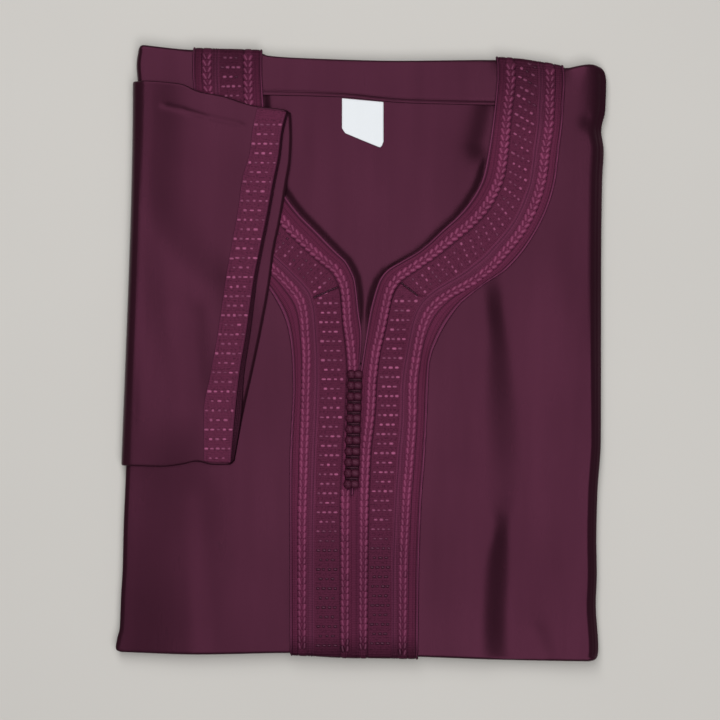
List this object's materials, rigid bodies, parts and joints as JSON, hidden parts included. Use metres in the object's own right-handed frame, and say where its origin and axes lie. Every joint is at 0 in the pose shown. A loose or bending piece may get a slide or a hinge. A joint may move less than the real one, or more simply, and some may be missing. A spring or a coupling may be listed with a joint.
{
  "type": "folded gandoura",
  "caption": "Short-sleeved plum satin gandoura folded flat, chest up, one sleeve laid over the front, with an embroidered neck band, cuff band and cloth knots down the slit.",
  "frame": {"origin": "on the surface below the middle of the folded packet", "axes": "+X across the packet to the side without the folded sleeve, +Y up to the shoulders, +Z out of the chest"},
  "size_m": [0.3932, 0.4938, 0.0255],
  "materials": {
    "satin": "dark plum satin with a soft sheen",
    "band_trim": "plum silk braid and chain stitch",
    "knot_cloth": "knotted plum cord",
    "label_cloth": "white woven tape, left bare"
  },
  "bodies": {
    "root": {"folded_layers": "satin", "back_panel": "satin", "back_neck_facing": "satin", "front_panel": "satin", "sleeve": "satin", "size_label": "label_cloth", "neck_band_left": "band_trim", "neck_band_right": "band_trim", "cuff_band": "band_trim", "knot_01": "knot_cloth", "loop_01": "knot_cloth", "knot_02": "knot_cloth", "loop_02": "knot_cloth", "knot_03": "knot_cloth", "loop_03": "knot_cloth", "knot_04": "knot_cloth", "loop_04": "knot_cloth", "knot_05": "knot_cloth", "loop_05": "knot_cloth", "knot_06": "knot_cloth", "loop_06": "knot_cloth", "knot_07": "knot_cloth", "loop_07": "knot_cloth", "knot_08": "knot_cloth", "loop_08": "knot_cloth", "knot_09": "knot_cloth", "loop_09": "knot_cloth", "knot_10": "knot_cloth", "loop_10": "knot_cloth", "knot_11": "knot_cloth", "loop_11": "knot_cloth"}
  },
  "joints": []
}
